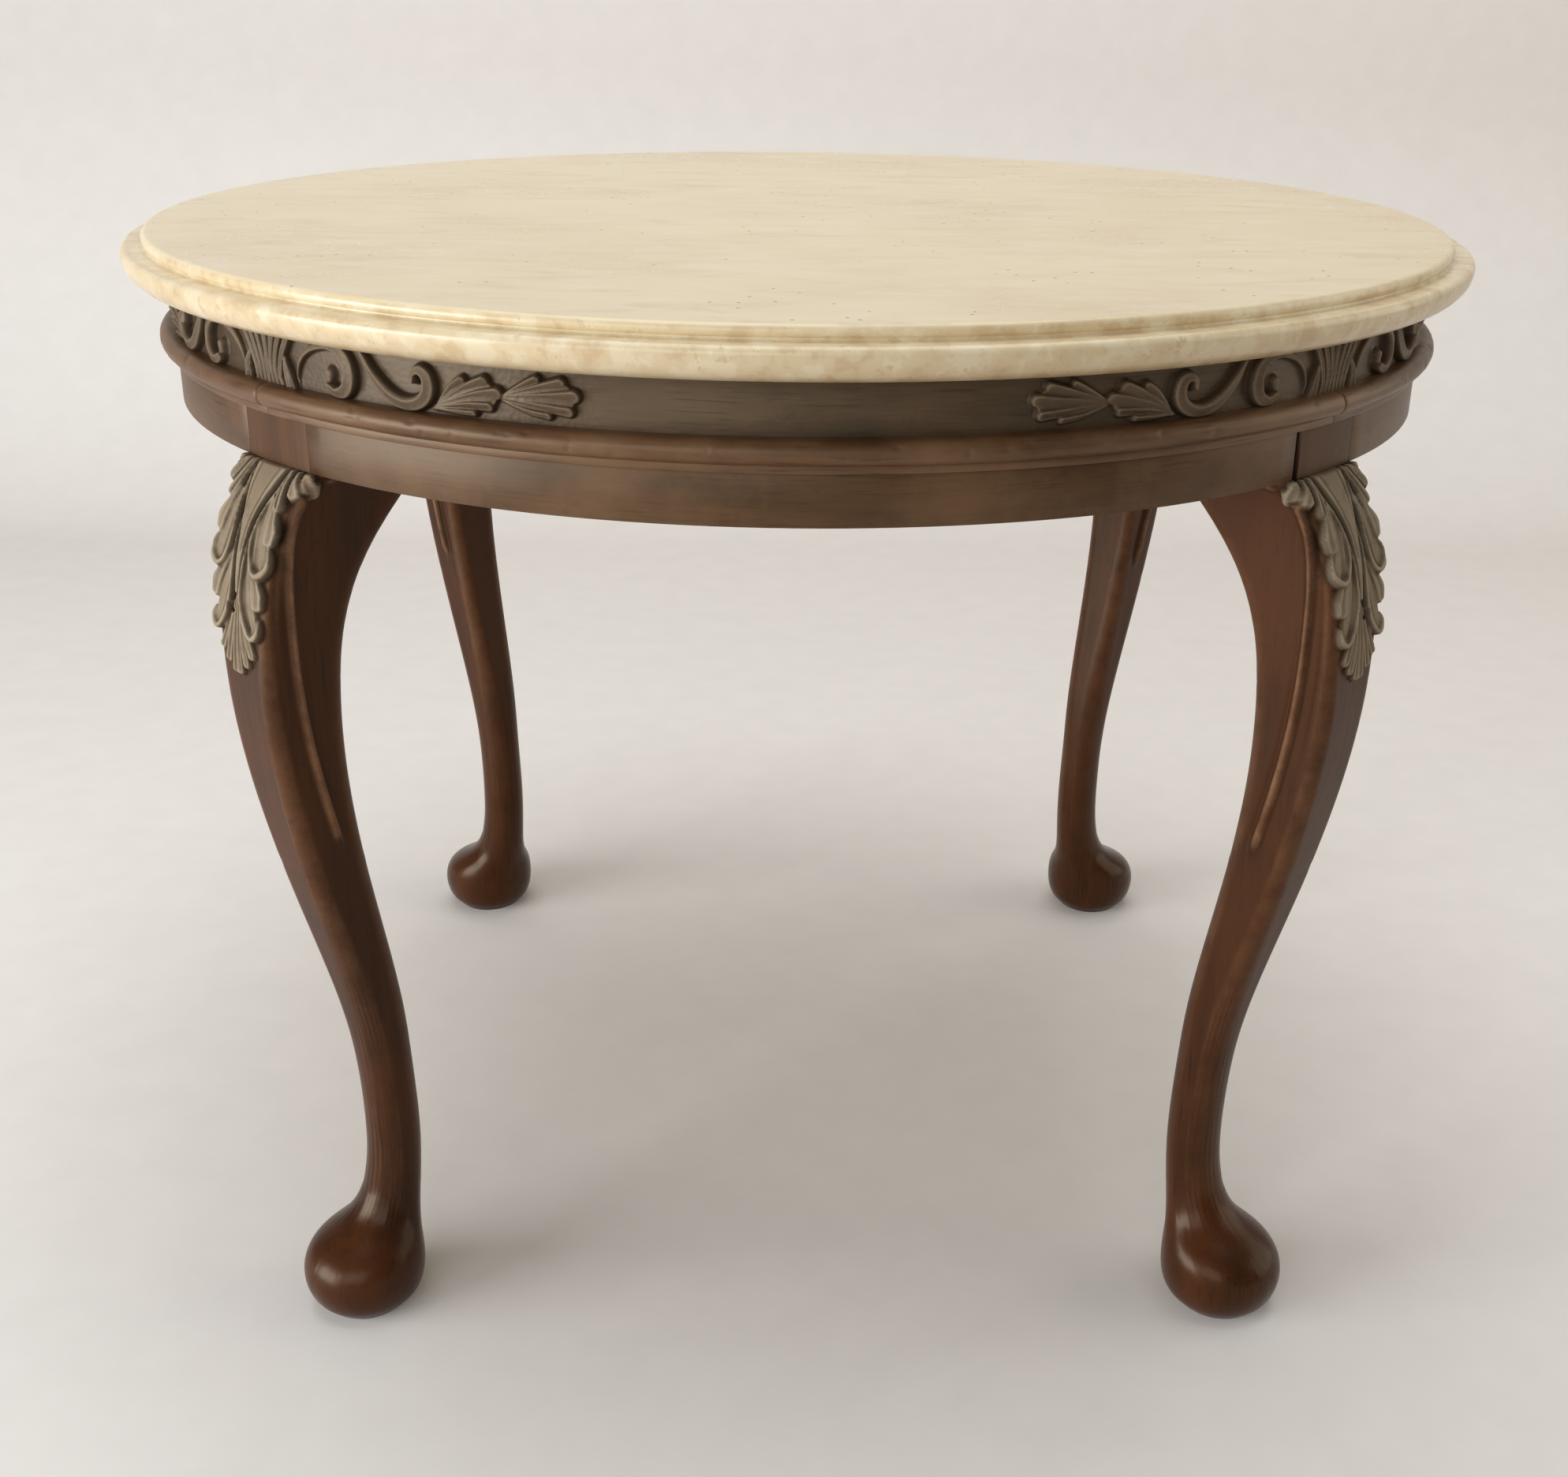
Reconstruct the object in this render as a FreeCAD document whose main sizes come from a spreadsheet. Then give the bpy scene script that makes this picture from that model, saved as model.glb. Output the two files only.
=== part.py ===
import FreeCAD, Part
import math
import os

import Sketcher
from FreeCAD import Placement, Rotation, Vector

# A round occasional table: a loose stone slab on a ring-built wooden apron with four cabriole legs.
# The origin is on the floor under the middle of the slab, +Z is up and the front faces -Y.
# Each leg and ring piece is drawn along +X and then turned about Z to its place.

# Driving dimensions in millimetres: alias, value, what it measures
SIZES = [
    ("leg_height", 436.3, "floor to the underside of the lower band"),
    ("stone_radius", 335.0, "outer radius of the slab"),
    ("stone_overhang", 23.0, "slab edge beyond the frieze"),
    ("nose_radius", 11.2, "quarter round under the slab's edge"),
    ("nose_ease", 3.2, "small round between the nose and the step"),
    ("ledge_width", 9.5, "flat step above the nose"),
    ("quirk_height", 0.8, "upright under the rim"),
    ("rim_radius", 2.75, "half round on the slab's upper edge"),
    ("pad_radius", 9.0, "felt pad under the slab"),
    ("pad_thickness", 0.8, "felt pad under the slab"),
    ("band_height", 21.5, "lower band, between the legs"),
    ("band_stand", 2.0, "lower band beyond the frieze"),
    ("ring_thickness", 24.0, "frieze, from front to back"),
    ("frieze_height", 35.7, "frieze, from the band up to the pads"),
    ("fillet_height", 3.5, "thin strip under the bead"),
    ("fillet_stand", 4.5, "thin strip beyond the frieze"),
    ("bead_radius", 4.9, "half-round bead"),
    ("bead_stand", 4.6, "bead's centre beyond the frieze"),
    ("post_width", 46.5, "leg post between the two joints of the band"),
    ("post_depth", 44.0, "leg post from front to back"),
    ("tenon_length", 13.0, "rail tenon into the post"),
    ("tenon_thickness", 8.0, "rail tenon"),
    ("tenon_height", 12.0, "rail tenon"),
    ("dowel_radius", 3.0, "dowel between post and frieze"),
    ("dowel_length", 26.0, "dowel between post and frieze"),
    ("dowel_drop", 11.0, "length of the dowel that is in the post"),
    ("dowel_spread", 8.5, "dowel from the middle of the post"),
    ("dowel_inset", 6.0, "dowel from the back of the frieze"),
    ("block_half", 48.0, "corner block, half its width"),
    ("block_depth", 34.0, "corner block behind the rail"),
    ("screw_spread", 33.0, "screw from the middle of the block"),
    ("screw_radius", 2.2, "screw shank"),
    ("screw_bite", 14.0, "screw into the rail"),
    ("head_radius", 4.2, "screw head"),
    ("head_height", 2.4, "screw head"),
    ("least_straight", 1.2, "straight side left between two rounded corners of a leg"),
    ("fit", 0.1, "glue and fitting clearance"),
]

# Sections of a leg from the floor up: name, width across, depth out from the table, corner radius and
# how far the middle stands out from the face of the lower band
LEG_SECTIONS = [
    ("base", 38.0, 38.0, 19.0, -4.0),
    ("sole", 53.0, 53.0, 26.5, -3.8),
    ("ball", 60.0, 60.0, 30.0, -3.7),
    ("crest", 52.0, 52.0, 26.0, -8.0),
    ("instep", 31.0, 32.0, 15.5, -20.5),
    ("neck", 26.6, 26.6, 13.3, -26.0),
    ("ankle", 26.0, 26.0, 13.0, -26.9),
    ("shank", 26.6, 26.6, 11.8, -23.4),
    ("shin", 28.6, 28.6, 9.5, -14.7),
    ("calf", 31.4, 31.4, 8.0, -3.4),
    ("garter", 34.4, 34.8, 7.0, 5.0),
    ("swell", 37.4, 38.9, 6.5, 7.45),
    ("knee", 42.4, 45.0, 5.0, 1.0),
    ("brow", 46.5, 56.0, 4.0, -13.0),
    ("shoulder", 52.0, 59.0, 2.5, -31.0),
]

# Rise of each of the foot's sections above the one under it, from the floor
FOOT_RISES = {"sole": 6.0, "ball": 13.0, "crest": 16.0, "instep": 16.0, "neck": 23.0, "ankle": 27.0}

# Drop of each of the knee's sections below the one over it, from the lower band
KNEE_DROPS = {"brow": 23.0, "knee": 29.0}

# Places of the middle sections between the ankle, 0, and the knee, 1
SHIN_SHARES = {"shank": 0.175, "shin": 0.335, "calf": 0.51, "garter": 0.685, "swell": 0.845}

# Turns about Z: the legs stand between the sides
LEGS = {"front_left": 225, "front_right": 315, "back_right": 45, "back_left": 135}
SIDES = {"front": 270, "right": 0, "back": 90, "left": 180}
SIDE_ANGLE = 90
LEG_TURN = SIDE_ANGLE / 2
FULL_TURN = 360
SIDEWAYS = 90
PADS = 8

# Pieces shared by several formulas
LEDGE_HEIGHT = "(Sizes.nose_radius + Sizes.nose_ease)"
STONE_HEIGHT = f"({LEDGE_HEIGHT} + Sizes.quirk_height + 2 * Sizes.rim_radius)"
BAND_TOP = "(Sizes.leg_height + Sizes.band_height)"
FRIEZE_TOP = f"({BAND_TOP} + Sizes.frieze_height)"
STONE_BOTTOM = f"({FRIEZE_TOP} + Sizes.pad_thickness)"
FRIEZE_RADIUS = "(Sizes.stone_radius - Sizes.stone_overhang)"
BAND_RADIUS = f"({FRIEZE_RADIUS} + Sizes.band_stand)"
RING_BACK = f"({FRIEZE_RADIUS} - Sizes.ring_thickness)"
HALF_POST = "(Sizes.post_width / 2)"
POST_BACK = f"({BAND_RADIUS} - Sizes.post_depth)"
TENON_MIDDLE = f"(({BAND_RADIUS} + {RING_BACK} + Sizes.dowel_inset) / 2 + Sizes.dowel_radius / 2)"
TENON_BOTTOM = "(Sizes.leg_height + (Sizes.band_height - Sizes.tenon_height) / 2)"
DOWEL_CIRCLE = f"({RING_BACK} + Sizes.dowel_inset)"
BLOCK_BACK = f"({RING_BACK} - Sizes.block_depth)"
SCREW_HEIGHT = "(Sizes.leg_height + Sizes.band_height / 2)"
SCREW_END = f"({RING_BACK} + Sizes.screw_bite)"

doc = FreeCAD.newDocument("round_table")
sheet = doc.addObject("Spreadsheet::Sheet", "Sizes")
nodes = []


def write_sheet():
    """Put every driving dimension in the sheet, one row each."""
    rows = list(SIZES)
    for name, width, depth, corner, stand in LEG_SECTIONS:
        rows.append((f"{name}_width", width, f"leg's {name}, across"))
        rows.append((f"{name}_depth", depth, f"leg's {name}, out from the table"))
        rows.append((f"{name}_corner", corner, f"leg's {name}, corner radius"))
        rows.append((f"{name}_stand", stand, f"leg's {name}, middle beyond the band"))
    for name, rise in FOOT_RISES.items():
        rows.append((f"{name}_rise", rise, f"leg's {name} above the section under it"))
    for name, drop in KNEE_DROPS.items():
        rows.append((f"{name}_drop", drop, f"leg's {name} below the section over it"))
    for name, share in SHIN_SHARES.items():
        rows.append((f"{name}_share", share, f"leg's {name} from ankle to knee"))
    for row, (alias, number, meaning) in enumerate(rows, start=1):
        sheet.set(f"A{row}", meaning)
        sheet.set(f"B{row}", str(number))
        sheet.setAlias(f"B{row}", alias)
    doc.recompute()


def value(formula):
    """The number that a formula on the sheet gives."""
    return float(sheet.evalExpression(formula))


def half_chord(radius, half):
    """How far along a radius a line lies on a circle, at a given distance to its side."""
    return f"sqrt({radius} ^ 2 - ({half}) ^ 2)"


def new_body(label, turn):
    """A body whose piece is drawn along +X and turned about Z."""
    body = doc.addObject("PartDesign::Body", label)
    body.Label = label
    body.Placement = Placement(Vector(), Rotation(Vector(0, 0, 1), turn))
    nodes.append(body)
    return body


def new_sketch(body, role, offset="0", turn=0):
    """A sketch on one of the body's planes, moved along its normal and turned about its upright."""
    sketch = body.newObject("Sketcher::SketchObject", f"{body.Name}_sketch")
    plane = next(item for item in body.Origin.OriginFeatures if item.Role == role)
    sketch.AttachmentSupport = (plane, [""])
    sketch.MapMode = "FlatFace"
    sketch.AttachmentOffset = Placement(Vector(), Rotation(Vector(0, 1, 0), turn))
    sketch.setExpression("AttachmentOffset.Base.z", offset)
    return sketch


def pin_point(sketch, edge, end, place):
    """Hold a point of a sketch at two formulas."""
    for kind, formula in zip(("DistanceX", "DistanceY"), place):
        index = sketch.addConstraint(Sketcher.Constraint(kind, -1, 1, edge, end, value(formula)))
        sketch.setExpression(f"Constraints[{index}]", formula)


def outline(sketch, corners):
    """Draw a closed outline. A corner is (x, y) or (x, y, radius), where the radius bends the edge
    that leaves it: a positive one turns left, a negative one right."""
    points = [Vector(value(corner[0]), value(corner[1]), 0) for corner in corners]
    first = sketch.GeometryCount
    for number, corner in enumerate(corners):
        start = points[number]
        end = points[(number + 1) % len(points)]
        if len(corner) == 2:
            edge = sketch.addGeometry(Part.LineSegment(start, end), False)
            begin = 1
        else:
            edge = sketch.addGeometry(bent_edge(start, end, value(corner[2])), False)
            begin = 1 if value(corner[2]) > 0 else 2
            index = sketch.addConstraint(Sketcher.Constraint("Radius", edge, abs(value(corner[2]))))
            sketch.setExpression(f"Constraints[{index}]", f"abs({corner[2]})")
        pin_point(sketch, edge, begin, corner)
    for number, corner in enumerate(corners):
        following = (number + 1) % len(corners)
        end = 1 if len(corner) == 3 and value(corner[2]) < 0 else 2
        begin = 2 if len(corners[following]) == 3 and value(corners[following][2]) < 0 else 1
        sketch.addConstraint(Sketcher.Constraint("Coincident", first + number, end, first + following, begin))


def bent_edge(start, end, radius):
    """An arc of less than a half circle between two points."""
    chord = end - start
    side = Vector(-chord.y, chord.x, 0).normalize()
    reach = math.sqrt(radius ** 2 - (chord.Length / 2) ** 2)
    centre = (start + end) / 2 + side * math.copysign(reach, radius)
    middle = centre - side * radius
    return Part.Arc(start, middle, end)


def disc(sketch, place, radius):
    """Draw a circle held by formulas."""
    centre = Vector(value(place[0]), value(place[1]), 0)
    edge = sketch.addGeometry(Part.Circle(centre, Vector(0, 0, 1), value(radius)), False)
    index = sketch.addConstraint(Sketcher.Constraint("Radius", edge, value(radius)))
    sketch.setExpression(f"Constraints[{index}]", radius)
    pin_point(sketch, edge, 3, place)


def rectangle(low, high, left, right):
    """Corners of a rectangle, from x low to high and y left to right."""
    return [(low, left), (high, left), (high, right), (low, right)]


def pad(body, sketch, length):
    """Raise a sketch along its normal."""
    feature = body.newObject("PartDesign::Pad", f"{body.Name}_pad")
    feature.Profile = sketch
    feature.setExpression("Length", length)
    return feature


def pocket(body, sketch, length, along_normal):
    """Cut a sketch into the body, along its normal or against it."""
    feature = body.newObject("PartDesign::Pocket", f"{body.Name}_pocket")
    feature.Profile = sketch
    feature.Reversed = along_normal
    feature.setExpression("Length", length)
    return feature


def revolve(body, sketch, angle):
    """Turn an upright profile about Z, evenly to both sides of its plane."""
    feature = body.newObject("PartDesign::Revolution", f"{body.Name}_turned")
    feature.Profile = sketch
    feature.ReferenceAxis = (sketch, ["V_Axis"])
    feature.Angle = angle
    feature.Midplane = True
    return feature


def beside_leg(along, across, side):
    """A plan point of a side piece, given from the leg at its end: along the leg's radius and
    across it towards the side piece."""
    return (f"(({along}) + ({across})) * sqrt(0.5)", f"{side} * (({along}) - ({across})) * sqrt(0.5)")


def stone_top():
    """The slab: one turned outline with a rounded nose, a step, a quirk and a half-round rim."""
    body = new_body("stone_top", 0)
    shelf = "(Sizes.stone_radius - Sizes.nose_ease)"
    step = f"({shelf} - Sizes.ledge_width)"
    ledge = f"({STONE_BOTTOM} + {LEDGE_HEIGHT})"
    spring = f"({ledge} + Sizes.quirk_height)"
    top = f"({STONE_BOTTOM} + {STONE_HEIGHT})"
    sketch = new_sketch(body, "XZ_Plane")
    outline(sketch, [
        ("0", STONE_BOTTOM),
        ("Sizes.stone_radius - Sizes.nose_radius", STONE_BOTTOM, "Sizes.nose_radius"),
        ("Sizes.stone_radius", f"{STONE_BOTTOM} + Sizes.nose_radius", "Sizes.nose_ease"),
        (shelf, ledge),
        (step, ledge),
        (step, spring, "Sizes.rim_radius"),
        (f"{step} + Sizes.rim_radius", f"{spring} + Sizes.rim_radius", "Sizes.rim_radius"),
        (step, top),
        ("0", top),
    ])
    revolve(body, sketch, FULL_TURN)


def foot_height(name):
    """Height of one of the foot's sections: the rises up to it."""
    names = list(FOOT_RISES)
    stack = names[:names.index(name) + 1]
    return "(" + " + ".join(f"Sizes.{step}_rise" for step in stack) + ")"


def knee_height(name):
    """Height of one of the knee's sections: the lower band less the drops down to it."""
    names = list(KNEE_DROPS)
    stack = names[:names.index(name) + 1]
    return "(Sizes.leg_height" + "".join(f" - Sizes.{step}_drop" for step in stack) + ")"


def section_height(name):
    """Height of one of the leg's sections."""
    if name == "base":
        return "0"
    if name == "shoulder":
        return "Sizes.leg_height"
    if name in FOOT_RISES:
        return foot_height(name)
    if name in KNEE_DROPS:
        return knee_height(name)
    ankle, knee = foot_height("ankle"), knee_height("knee")
    return f"({ankle} + Sizes.{name}_share * ({knee} - {ankle}))"


def leg_section(body, name):
    """A rounded rectangle across the leg."""
    middle = f"({BAND_RADIUS} + Sizes.{name}_stand)"
    depth = f"(Sizes.{name}_depth / 2)"
    width = f"(Sizes.{name}_width / 2)"
    room = f"{width} - Sizes.least_straight / 2; {depth} - Sizes.least_straight / 2"
    corner = f"min(Sizes.{name}_corner; {room})"
    low, high = f"{middle} - {depth}", f"{middle} + {depth}"
    sketch = new_sketch(body, "XY_Plane", section_height(name))
    outline(sketch, [
        (f"{low} + {corner}", f"-{width}"),
        (f"{high} - {corner}", f"-{width}", corner),
        (high, f"-{width} + {corner}"),
        (high, f"{width} - {corner}", corner),
        (f"{high} - {corner}", width),
        (f"{low} + {corner}", width, corner),
        (low, f"{width} - {corner}"),
        (low, f"-{width} + {corner}", corner),
    ])
    return sketch


def leg(label, turn):
    """A cabriole leg with its foot, and the post that stands in the lower band."""
    body = new_body(label, turn)
    sections = [leg_section(body, row[0]) for row in LEG_SECTIONS]
    loft = body.newObject("PartDesign::AdditiveLoft", f"{label}_loft")
    loft.Profile = sections[0]
    loft.Sections = sections[1:]
    doc.recompute()

    face = half_chord(BAND_RADIUS, HALF_POST)
    post = new_sketch(body, "XY_Plane", "Sizes.leg_height")
    outline(post, [
        (POST_BACK, f"-{HALF_POST}"),
        (face, f"-{HALF_POST}", BAND_RADIUS),
        (face, HALF_POST),
        (POST_BACK, HALF_POST),
    ])
    pad(body, post, "Sizes.band_height")

    low = f"{TENON_MIDDLE} - Sizes.tenon_thickness / 2 - Sizes.fit"
    high = f"{TENON_MIDDLE} + Sizes.tenon_thickness / 2 + Sizes.fit"
    floor = f"({HALF_POST} - Sizes.tenon_length - Sizes.fit)"
    mortises = new_sketch(body, "XY_Plane", f"{TENON_BOTTOM} - Sizes.fit")
    outline(mortises, rectangle(low, high, floor, HALF_POST))
    outline(mortises, rectangle(low, high, f"-{HALF_POST}", f"-{floor}"))
    pocket(body, mortises, "Sizes.tenon_height + 2 * Sizes.fit", True)

    holes = new_sketch(body, "XY_Plane", BAND_TOP)
    for side in ("-", ""):
        disc(holes, (DOWEL_CIRCLE, f"{side}Sizes.dowel_spread"), "Sizes.dowel_radius + Sizes.fit")
    pocket(body, holes, "Sizes.dowel_drop + Sizes.fit", False)


def rail(label, turn):
    """One sawn length of the lower band between two leg posts, with a tenon and two screw holes at
    its ends."""
    body = new_body(label, turn)
    half = f"({HALF_POST} + Sizes.fit)"
    face = half_chord(BAND_RADIUS, half)
    back = half_chord(RING_BACK, half)
    plan = new_sketch(body, "XY_Plane", "Sizes.leg_height")
    outline(plan, [
        beside_leg(back, half, -1),
        beside_leg(face, half, -1) + (BAND_RADIUS,),
        beside_leg(face, half, 1),
        beside_leg(back, half, 1) + (f"-{RING_BACK}",),
    ])
    pad(body, plan, "Sizes.band_height")

    low = f"{TENON_MIDDLE} - Sizes.tenon_thickness / 2"
    high = f"{TENON_MIDDLE} + Sizes.tenon_thickness / 2"
    tip = f"{HALF_POST} - Sizes.tenon_length"
    root = f"{half} + Sizes.tenon_thickness / 4"
    tenons = new_sketch(body, "XY_Plane", TENON_BOTTOM)
    for side in (-1, 1):
        outline(tenons, [beside_leg(*place, side) for place in rectangle(low, high, tip, root)])
    pad(body, tenons, "Sizes.tenon_height")

    for side in (-1, 1):
        pilot = new_sketch(body, "YZ_Plane", turn=side * LEG_TURN)
        disc(pilot, (f"{-side} * Sizes.screw_spread", SCREW_HEIGHT), "Sizes.screw_radius + Sizes.fit")
        pocket(body, pilot, f"{SCREW_END} + Sizes.fit", True)


def frieze(label, turn):
    """A quarter of the upper ring. Its ends meet over the legs, where dowels hold it down."""
    body = new_body(label, turn)
    profile = new_sketch(body, "XZ_Plane")
    outline(profile, rectangle(RING_BACK, FRIEZE_RADIUS, BAND_TOP, FRIEZE_TOP))
    revolve(body, profile, SIDE_ANGLE)
    holes = new_sketch(body, "XY_Plane", BAND_TOP)
    for side in (-1, 1):
        place = beside_leg(DOWEL_CIRCLE, "Sizes.dowel_spread", side)
        disc(holes, place, "Sizes.dowel_radius + Sizes.fit")
    pocket(body, holes, "Sizes.dowel_length - Sizes.dowel_drop + Sizes.fit", True)


def fillet_strip(label, turn):
    """A quarter of the thin strip that is glued on under the bead."""
    body = new_body(label, turn)
    profile = new_sketch(body, "XZ_Plane")
    outline(profile, rectangle(FRIEZE_RADIUS, f"{FRIEZE_RADIUS} + Sizes.fillet_stand",
                               BAND_TOP, f"{BAND_TOP} + Sizes.fillet_height"))
    revolve(body, profile, SIDE_ANGLE)


def bead(label, turn):
    """A quarter of the half-round moulding that is glued round the foot of the frieze."""
    body = new_body(label, turn)
    bottom = f"({BAND_TOP} + Sizes.fillet_height)"
    top = f"({bottom} + 2 * Sizes.bead_radius)"
    centre = f"({FRIEZE_RADIUS} + Sizes.bead_stand)"
    profile = new_sketch(body, "XZ_Plane")
    outline(profile, [
        (FRIEZE_RADIUS, bottom),
        (centre, bottom, "Sizes.bead_radius"),
        (f"{centre} + Sizes.bead_radius", f"{bottom} + Sizes.bead_radius", "Sizes.bead_radius"),
        (centre, top),
        (FRIEZE_RADIUS, top),
    ])
    revolve(body, profile, SIDE_ANGLE)


def corner_block(label, turn):
    """A block behind a leg, notched round its post and screwed to the rails on both sides."""
    body = new_body(label, turn)
    radius = f"({RING_BACK} - Sizes.fit)"
    notch = f"({HALF_POST} + Sizes.fit)"
    notch_end = half_chord(radius, notch)
    wing_end = half_chord(radius, "Sizes.block_half")
    floor = f"{POST_BACK} - Sizes.fit"
    plan = new_sketch(body, "XY_Plane", "Sizes.leg_height")
    outline(plan, [
        (BLOCK_BACK, "-Sizes.block_half"),
        (wing_end, "-Sizes.block_half", radius),
        (notch_end, f"-{notch}"),
        (floor, f"-{notch}"),
        (floor, notch),
        (notch_end, notch, radius),
        (wing_end, "Sizes.block_half"),
        (BLOCK_BACK, "Sizes.block_half"),
    ])
    pad(body, plan, "Sizes.band_height")
    holes = new_sketch(body, "YZ_Plane", BLOCK_BACK)
    for side in ("-", ""):
        disc(holes, (f"{side}Sizes.screw_spread", SCREW_HEIGHT), "Sizes.screw_radius + Sizes.fit")
    pocket(body, holes, "Sizes.block_depth", True)


def round_bar(name, place, radius, length):
    """A cylinder with its size bound to the sheet."""
    bar = doc.addObject("Part::Cylinder", name)
    bar.setExpression("Radius", radius)
    bar.setExpression("Height", length)
    bar.Placement = place
    return bar


def turned(turn, along, across, height, tilt=0):
    """A place given from the table's axis, turned about Z, with its own axis tilted from up to out."""
    place = Placement(Vector(value(along), value(across), value(height)), Rotation(Vector(0, 1, 0), tilt))
    return Placement(Vector(), Rotation(Vector(0, 0, 1), turn)) * place


def group(label, members):
    """One node of several separate solids."""
    node = doc.addObject("Part::Compound", label)
    node.Label = label
    node.Links = members
    nodes.append(node)


def frieze_dowels():
    """Two dowels over each leg, one for each frieze end."""
    dowels = []
    for turn in LEGS.values():
        for side in ("-", ""):
            spread = f"{side}Sizes.dowel_spread"
            place = turned(turn, DOWEL_CIRCLE, spread, f"{BAND_TOP} - Sizes.dowel_drop")
            dowels.append(round_bar("dowel", place, "Sizes.dowel_radius", "Sizes.dowel_length"))
    group("frieze_dowels", dowels)


def block_screws():
    """Two round-headed screws through each corner block into the rails."""
    screws = []
    for turn in LEGS.values():
        for side in ("-", ""):
            spread = f"{side}Sizes.screw_spread"
            shank_place = turned(turn, BLOCK_BACK, spread, SCREW_HEIGHT, SIDEWAYS)
            shank = round_bar("shank", shank_place, "Sizes.screw_radius", f"{SCREW_END} - {BLOCK_BACK}")
            head_place = turned(turn, f"{BLOCK_BACK} - Sizes.head_height", spread, SCREW_HEIGHT, SIDEWAYS)
            head = round_bar("head", head_place, "Sizes.head_radius", "Sizes.head_height")
            screw = doc.addObject("Part::MultiFuse", "screw")
            screw.Shapes = [head, shank]
            screws.append(screw)
    group("block_screws", screws)


def top_pads():
    """Felt pads on the frieze, which bed the slab."""
    middle = f"({FRIEZE_RADIUS} + {RING_BACK}) / 2"
    spacing = FULL_TURN / PADS
    pads = []
    for number in range(PADS):
        place = turned((number + 0.5) * spacing, middle, "0", FRIEZE_TOP)
        pads.append(round_bar("pad", place, "Sizes.pad_radius", "Sizes.pad_thickness"))
    group("top_pads", pads)


def write_parts():
    """Check every object, then write each node's shape to its own file."""
    doc.recompute()
    for item in doc.Objects:
        if "Invalid" in item.State or "Error" in item.State:
            raise RuntimeError(f"{item.Label} failed: {item.State}")
    for node in nodes:
        if node.Shape.isNull() or not node.Shape.isValid():
            raise RuntimeError(f"{node.Label} has no sound shape")
    os.makedirs("parts", exist_ok=True)
    for node in nodes:
        node.Shape.exportStep(os.path.join("parts", f"{node.Label}.step"))
        print(f"{node.Label}: {len(node.Shape.Solids)} solids, {node.Shape.Volume:.1f} mm3")


write_sheet()
stone_top()
for name, turn in LEGS.items():
    leg(f"leg_{name}", turn)
    corner_block(f"corner_block_{name}", turn)
for name, turn in SIDES.items():
    rail(f"rail_{name}", turn)
    frieze(f"frieze_{name}", turn)
    fillet_strip(f"fillet_{name}", turn)
    bead(f"bead_{name}", turn)
frieze_dowels()
block_screws()
top_pads()
write_parts()
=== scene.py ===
import math

import bmesh
import bpy
import numpy as np
from mathutils import Matrix, Vector
from mathutils.bvhtree import BVHTree


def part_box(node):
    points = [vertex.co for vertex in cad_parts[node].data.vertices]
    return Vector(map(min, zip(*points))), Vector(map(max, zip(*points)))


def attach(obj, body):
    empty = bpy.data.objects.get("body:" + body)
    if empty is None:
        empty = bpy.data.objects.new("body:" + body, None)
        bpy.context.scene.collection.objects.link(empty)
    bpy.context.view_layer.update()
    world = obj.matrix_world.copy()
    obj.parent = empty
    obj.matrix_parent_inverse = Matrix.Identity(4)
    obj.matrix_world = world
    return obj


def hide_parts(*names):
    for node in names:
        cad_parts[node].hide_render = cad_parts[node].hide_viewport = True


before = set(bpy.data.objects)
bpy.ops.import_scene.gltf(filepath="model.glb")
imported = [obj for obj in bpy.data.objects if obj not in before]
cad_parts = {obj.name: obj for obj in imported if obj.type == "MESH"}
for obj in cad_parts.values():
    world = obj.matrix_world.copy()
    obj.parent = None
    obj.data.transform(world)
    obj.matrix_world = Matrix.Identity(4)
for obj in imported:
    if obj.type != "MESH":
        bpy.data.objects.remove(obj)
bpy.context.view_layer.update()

# Turns about Z in degrees: each leg and side is made along +X and then turned
LEGS = {"front_left": 225, "front_right": 315, "back_right": 45, "back_left": 135}
SIDES = {"front": 270, "right": 0, "back": 90, "left": 180}
HALF_SIDE = math.radians(45)

# Lengths are in metres, but carving is drawn in millimetres
MM = 0.001
rng = np.random.default_rng(7)

# Angles over which faces show an edge, on carved meshes and on plain joinery
CARVED_EDGE = math.radians(75)
PLAIN_EDGE = math.radians(40)


def turn_z(points, degrees):
    """Points turned about Z."""
    cosine = math.cos(math.radians(degrees))
    sine = math.sin(math.radians(degrees))
    return points @ np.array([[cosine, sine, 0], [-sine, cosine, 0], [0, 0, 1]])


def smooth_step(value):
    """0 to 1 with soft ends."""
    value = np.clip(value, 0, 1)
    return value * value * (3 - 2 * value)


def soften(field, times, axes=(0, 1)):
    """A grid of numbers, averaged with its neighbours."""
    for _ in range(times):
        for axis in axes:
            last = field.shape[axis] - 1
            before = field.take([0, *range(last)], axis)
            after = field.take([*range(1, last + 1), last], axis)
            field = (before + 2 * field + after) / 4
    return field


# Carving

# Steps between two rows of a stroke, the spacing of its points and its least half width
STROKE_STEPS = 14
STROKE_SPACING = 0.35
LEAST_HALF = 0.05

# Widths of the steep edges: as a rule, on fine strokes and on the knee's leaf
WALL = 0.9
FINE_WALL = 0.5
LEAF_WALL = 1.1


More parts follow.
